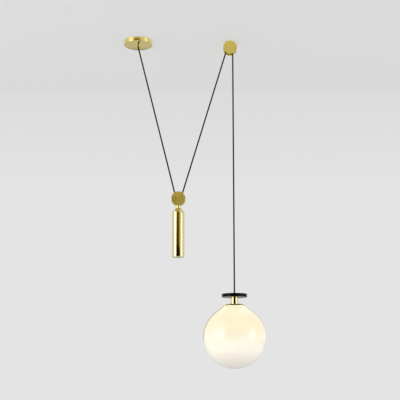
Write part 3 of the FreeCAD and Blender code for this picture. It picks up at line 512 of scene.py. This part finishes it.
# The stem stands in a recess in the disc's underside.
recess_radius, stem_radius, stem_bore, stem_top, stem_foot = 14.35, 14.25, 12.75, -1090.5, -1119
gland_radius, lamp_gland_top, tube_top = 9, -1075.5, -1076.5
brass_piece("lamp_gland_turned",
            rounded([(hole, disc_top), (gland_radius, disc_top), (gland_radius, lamp_gland_top, 1),
                     (flex_bore, lamp_gland_top, 0.4), (flex_bore, tube_top), (hole, tube_top)]),
            "lamp", "lamp_gland", centre=lamp_axis, around=64)
brass_piece("black_disc_turned",
            rounded([(hole, stem_top), (recess_radius, stem_top), (recess_radius, disc_foot),
                     (disc_radius, disc_foot, 0.8), (disc_radius, disc_top, 0.8),
                     (hole, disc_top)]),
            "lamp", "black_disc", finish=black_lacquer, slot="black_lacquer", centre=lamp_axis,
            around=160)
brass_piece("lamp_stem_drawn",
            rounded([(stem_bore, stem_foot), (stem_radius, stem_foot), (stem_radius, stem_top),
                     (stem_bore, stem_top)]),
            "lamp", "lamp_stem", finish=polished_brass, slot="polished_brass", centre=lamp_axis)


def crown(start, stop, radius, steps=24):
    """Arc of the given radius from start to stop, bulging upwards and away from the axis."""
    start, stop = np.array(start, float), np.array(stop, float)
    chord = stop - start
    rise = math.sqrt(radius ** 2 - (chord @ chord) / 4)
    middle = (start + stop) / 2 + np.array([-chord[1], chord[0]]) / np.linalg.norm(chord) * rise
    first = math.atan2(*(start - middle)[::-1])
    last = math.atan2(*(stop - middle)[::-1])
    t = np.linspace(first, last, steps)
    return middle + radius * np.stack([np.cos(t), np.sin(t)], axis=1)


# Heights here are above the cap's foot.  The dome runs from the rim's turned edge to a flat top.
cap_foot = -1127.6
cap_radius, cap_wall, cap_top, cap_flat, dome_radius = 45, 0.8, 8.6, 16, 71
rim_outside, rim_inside = (44.134, 1.959), (43.796, 1.234)
cap_outline = np.vstack([[(cap_radius - cap_wall, 0), (cap_radius, 0)],
                         crown((cap_radius, 0.6), rim_outside, 1.5, 6),
                         crown(rim_outside, (cap_flat, cap_top), dome_radius)[1:],
                         [(hole, cap_top), (hole, cap_top - cap_wall)],
                         crown(rim_inside, (cap_flat, cap_top - cap_wall),
                               dome_radius - cap_wall)[::-1],
                         [(cap_radius - cap_wall, 0.6)]])
brass_piece("globe_cap_spun", cap_outline + (0, cap_foot), "lamp", "globe_cap",
            finish=polished_brass, slot="polished_brass", centre=lamp_axis)
dress_nodes(zinc_plated_steel, "lamp_tube", "disc_nut", "clamp_bar", "clamp_nut", "bulb_base")

# ---------------------------------------------------------------- opal globe
# Blown opal glass, 251 mm, flashed white and glossy outside.  The bulb inside lights it evenly: it
# glows warm towards the cap and through the middle, and fades to the room's grey at the bottom.
globe_centre = -1252.0
globe_radius = 125.5
glass_wall = 2.5
# The neck begins and ends this far above the globe's middle.
neck_radius, neck_foot, neck_rim = 42.5, 125.2, 125.6


def globe_side(radius, touch, neck):
    """Half outline of a globe: an arc from its lowest point up to where the shoulder touches it,
    then straight along that tangent to the neck and up to the rim."""
    t = np.linspace(-math.pi / 2, touch, 96)
    sphere = radius * np.stack([np.cos(t), np.sin(t)], axis=1)
    shoulder = (radius - neck * math.cos(touch)) / math.sin(touch)
    return np.vstack([sphere, [(neck, shoulder), (neck, neck_rim)]])


def opal_glass():
    """Opal glass over a light: the glow is a colour by height, uneven by a slow cloud, and a clear
    glossy skin on it takes up the windows."""
    made, tree = new_material("opal glass")
    cloud_width = 60 * mm
    spot = add(tree, "SeparateXYZ", {0: add(tree, "TexCoord").outputs["Object"]})
    height = add(tree, "MapRange", {"Value": spot.outputs["Z"],
                                    "From Min": (globe_centre - globe_radius) * mm,
                                    "From Max": (globe_centre + globe_radius) * mm}).outputs[0]
    cloud = add(tree, "TexNoise", {"Vector": add(tree, "TexCoord").outputs["Object"],
                                   "Scale": 1 / cloud_width, "Detail": 1.0}).outputs["Fac"]
    height = add(tree, "Math", {0: cloud, 1: 0.03, 2: height}, operation="MULTIPLY_ADD").outputs[0]
    glow = add(tree, "ValToRGB", {"Fac": height},
               [(0.0, "#75706F"), (0.09, "#8F8C8A"), (0.18, "#A79D95"), (0.3, "#B8B4A6"),
                (0.466, "#BAB39B"), (0.6, "#B5A67A"), (0.76, "#B3A26D"), (0.86, "#B9AC82"),
                (1.0, "#CFC8A0")]).outputs["Color"]
    shader = add(tree, "BsdfPrincipled", {
        "Base Color": linear("#D8D4C8"), "Roughness": 0.22, "Specular IOR Level": 0.5,
        "Coat Weight": 1.0, "Coat Roughness": 0.05, "Emission Color": glow,
        "Emission Strength": 1.0})
    add(tree, "OutputMaterial", {"Surface": shader.outputs[0]})
    return made


globe_touch = (math.atan2(neck_foot, neck_radius)
               - math.acos(globe_radius / math.hypot(neck_foot, neck_radius)))
globe_outline = np.vstack([globe_side(globe_radius, globe_touch, neck_radius),
                           globe_side(globe_radius - glass_wall, globe_touch,
                                      neck_radius - glass_wall)[::-1]])
brass_piece("globe_blown", globe_outline + (0, globe_centre), "lamp", "glass_globe",
            finish=opal_glass(), slot="opal_glass", centre=lamp_axis, around=192)

# ---------------------------------------------------------------- inside the globe
# Silicone gasket and pads between metal and glass, and a lampholder with a porcelain body, a
# brass screw shell and a frosted bulb.
dress_nodes(plain_finish("silicone rubber", "#D9D9D4", "#CFCFC9", 0.0, 0.55, 1.2, 0.02),
            "globe_gasket", "clamp_pads")
dress_nodes(plain_finish("moulded thermoplastic", "#17171A", "#101012", 0.0, 0.4, 0.8, 0.02),
            "holder_cap")
dress_nodes(plain_finish("glazed porcelain", "#F0EEE8", "#E8E6DF", 0.0, 0.12, 4, 0.02,
                         Coat_Weight=0.8, Coat_Roughness=0.05), "holder_body")
dress_nodes(plain_finish("drawn brass", "#DDC46F", "#CDB15B", 1.0, 0.25, 2, 0.01),
            "holder_shell", "holder_contact")
dress_nodes(plain_finish("frosted glass", "#F4F2EA", "#EFECE2", 0.0, 0.35, 6, 0.01,
                         Emission_Color=linear("#FFE9C2"), Emission_Strength=1.5), "bulb_glass")

# ---------------------------------------------------------------- room and light
# A pale studio: a ceiling that is only there from below, a floor, and tall soft windows to the
# left and right.  The wall behind is the world's own pale grey.


def stage_sheet(name, corners, finish):
    mesh = bpy.data.meshes.new(name)
    mesh.from_pydata(corners, [], [(0, 1, 2, 3)])
    mesh.materials.append(finish)
    sheet = bpy.data.objects.new(name, mesh)
    bpy.context.scene.collection.objects.link(sheet)
    return sheet


def level_sheet(name, x0, x1, y0, y1, z, finish):
    return stage_sheet(name, [(x0, y0, z), (x1, y0, z), (x1, y1, z), (x0, y1, z)], finish)


floor_paint, tree = new_material("pale floor")
shader = add(tree, "BsdfPrincipled", {"Base Color": linear("#E6E6E4"), "Roughness": 0.8})
add(tree, "OutputMaterial", {"Surface": shader.outputs[0]})
floor_height = -2.35
level_sheet("floor", -8, 8, -8, 8, floor_height, floor_paint)

ceiling_paint, tree = new_material("ceiling paint")
plaster = add(tree, "BsdfDiffuse", {"Color": linear("#BCBCBC")})
wash = add(tree, "Emission", {"Color": linear("#E7E8EA"), "Strength": 0.45})
white = add(tree, "AddShader", {0: plaster.outputs[0], 1: wash.outputs[0]})
clear = add(tree, "BsdfTransparent")
side = add(tree, "NewGeometry").outputs["Backfacing"]
mixed = add(tree, "MixShader", {0: side, 1: white.outputs[0], 2: clear.outputs[0]})
add(tree, "OutputMaterial", {"Surface": mixed.outputs[0]})
ceiling_front, ceiling_back, ceiling_split = -2.2, 0.69, 0.25
ceiling_height = 0.5 * mm
level_sheet("ceiling_right", 6, ceiling_split, ceiling_front, ceiling_back, ceiling_height,
            ceiling_paint)
# The canopy and the weight mirror the windows, so there reflections don't see the ceiling.
ceiling_left = level_sheet("ceiling_left", ceiling_split, -6, ceiling_front, ceiling_back,
                           ceiling_height, ceiling_paint)
ceiling_left.visible_glossy = False

# The wall's shade goes by height: darker below for reflections, the photograph's grey beside the
# pendant, and warm overhead.  Light that falls on rough surfaces is one even white.
world = bpy.data.worlds.new("room")
bpy.context.scene.world = world
world.use_nodes = True
world.node_tree.nodes.clear()
tree = world.node_tree
path = add(tree, "LightPath")
seen = add(tree, "Math", {0: path.outputs["Is Camera Ray"], 1: path.outputs["Is Glossy Ray"]},
           operation="MAXIMUM").outputs[0]
seen = add(tree, "Math", {0: seen, 1: path.outputs["Is Transmission Ray"]},
           operation="MAXIMUM").outputs[0]
height = add(tree, "SeparateXYZ", {0: add(tree, "TexCoord").outputs["Generated"]}).outputs["Z"]
share = add(tree, "MapRange", {"Value": height, "From Min": -0.5, "From Max": 1.0}).outputs[0]
least = add(tree, "Math", {0: 0.33, 1: path.outputs["Is Camera Ray"]},
            operation="MULTIPLY").outputs[0]
share = add(tree, "Math", {0: share, 1: least}, operation="MAXIMUM").outputs[0]
shade = add(tree, "ValToRGB", {"Fac": share},
            [(0.0, "#B0B0AE"), (0.29, "#B8B8B6"), (0.327, "#E4E4E4"), (0.467, "#E4E4E4"),
             (0.5, "#E0E0E0"), (0.54, "#DBDBDB"), (0.8, "#DADADA"),
             (0.93, "#A7975A")]).outputs["Color"]
wall = add(tree, "Background", {"Color": shade, "Strength": 1.0})
soft = add(tree, "Background", {"Color": linear("#F2F2F2"), "Strength": 0.8})
mixed = add(tree, "MixShader", {0: seen, 1: soft.outputs[0], 2: wall.outputs[0]})
add(tree, "OutputWorld", {"Surface": mixed.outputs[0]})


window_radiance, window_height = 2.1, 1.9
pendant_middle = np.array([0.25, 0])


def window(name, spot, wide):
    """An upright soft light that faces the pendant; its power is radiance x pi x area."""
    light = bpy.data.lights.new(name, "AREA")
    light.shape = "RECTANGLE"
    light.size, light.size_y = wide, window_height
    light.energy = window_radiance * math.pi * wide * window_height
    light.color = (1.0, 0.98, 0.95)
    holder = bpy.data.objects.new(name, light)
    holder.location = spot
    run = pendant_middle - spot[:2]
    holder.rotation_euler = (math.pi / 2, 0, math.atan2(run[1], run[0]) - math.pi / 2)
    bpy.context.scene.collection.objects.link(holder)


window("window_left", (-2.70, -1.78, -0.6), 2.3)
window("window_right", (3.32, -1.28, -0.6), 1.15)


def reflected(name, start, stop, low, high, finish):
    """An upright wall from start to stop, (x, y), that only reflections see."""
    sheet = stage_sheet(name, [(*start, low), (*stop, low), (*stop, high), (*start, high)], finish)
    sheet.visible_camera = False
    sheet.visible_diffuse = False
    sheet.visible_shadow = False
    sheet.visible_transmission = False


# Above the ceiling the windows go on for the reflections, as the tall windows of a studio would.
pane_glow, tree = new_material("window pane")
add(tree, "OutputMaterial",
    {"Surface": add(tree, "Emission", {"Color": linear("#FFFCF6"), "Strength": 1.15}).outputs[0]})
pane_foot, pane_top = 0.36, 2.0
reflected("pane_left", (-3.30, -0.80), (-2.10, -2.76), pane_foot, pane_top, pane_glow)
reflected("pane_right", (3.10, -1.86), (3.58, -0.64), pane_foot, pane_top, pane_glow)

# A dark wall behind the camera and one behind the pendant.  They are darkest round one spot and
# pale towards their edges.
dark_paint, tree = new_material("dark wall")
darkest_x, darkest_z, fade_across, fade_up = -0.7, -0.9, 4.2, 3.6
spot = add(tree, "Mapping", {0: add(tree, "TexCoord").outputs["Object"],
                             "Location": (-darkest_x / fade_across, 0, -darkest_z / fade_up),
                             "Scale": (1 / fade_across, 0, 1 / fade_up)}).outputs[0]
away = add(tree, "VectorMath", {0: spot}, operation="LENGTH").outputs["Value"]
shade = add(tree, "ValToRGB", {"Fac": away},
            [(0.1, "#100A03"), (0.22, "#4B3507"), (0.44, "#695512"), (0.74, "#998B59"),
             (0.85, "#B3A47C"), (1.0, "#DAD7CB")]).outputs["Color"]
shader = add(tree, "Emission", {"Color": shade, "Strength": 1.0})
add(tree, "OutputMaterial", {"Surface": shader.outputs[0]})
reflected("dark_wall", (-3.6, -4.6), (4.4, -4.6), -2.3, 2.2, dark_paint)
reflected("far_wall", (-1.8, 5), (1.8, 5), -1.2, 1.5, dark_paint)
# Lower down, at the height that the lamp's stem mirrors, the wall is all but black.
dark_dado, tree = new_material("dark dado")
add(tree, "OutputMaterial",
    {"Surface": add(tree, "Emission", {"Color": linear("#0C0703"), "Strength": 1.0}).outputs[0]})
reflected("dark_band", (-2.6, -4.5), (3.4, -4.5), -1.0, -0.62, dark_dado)

bpy.context.scene.view_settings.view_transform = "Standard"
